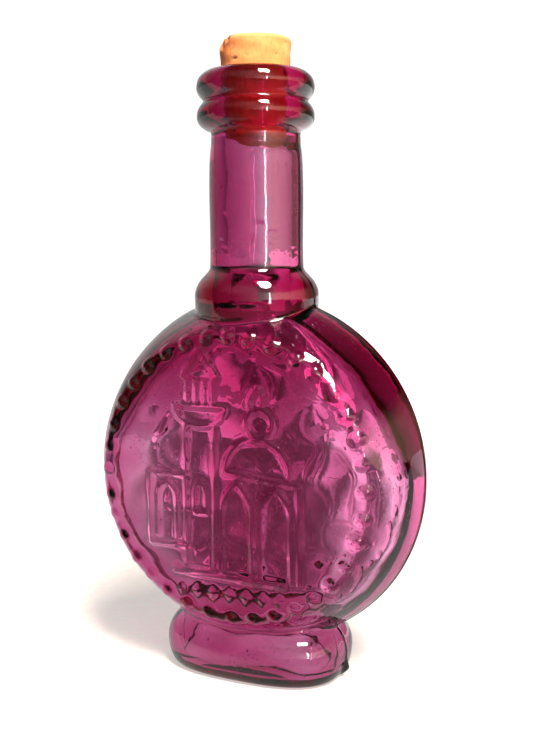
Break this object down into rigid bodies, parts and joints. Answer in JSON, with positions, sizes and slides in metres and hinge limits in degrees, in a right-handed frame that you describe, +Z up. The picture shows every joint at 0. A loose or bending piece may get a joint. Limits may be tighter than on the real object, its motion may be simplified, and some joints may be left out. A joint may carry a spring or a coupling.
{
  "type": "glass flask with cork",
  "caption": "Round-bodied moulded glass flask on an oval foot, with a beaded face, a collared neck, a double-ring lip and a tapered cork that pulls out.",
  "frame": {"origin": "on the surface the flask stands on, under its middle", "axes": "+Z up the neck, +Y from the front face to the back face, +X to the right of the front face"},
  "size_m": [0.086, 0.0338, 0.153],
  "materials": {
    "amethyst_glass": "clear purple-pink glass, fire-polished, with small bubbles",
    "cork": "natural cork, dry and matte"
  },
  "bodies": {
    "bottle": {"glass_bottle": "amethyst_glass"},
    "cork": {"cork_stopper": "cork"}
  },
  "joints": [
    {"name": "cork_pull", "type": "slide", "parent": "bottle", "child": "cork", "axis": [0, 0, 1], "range_m": [0, 0.03]}
  ]
}
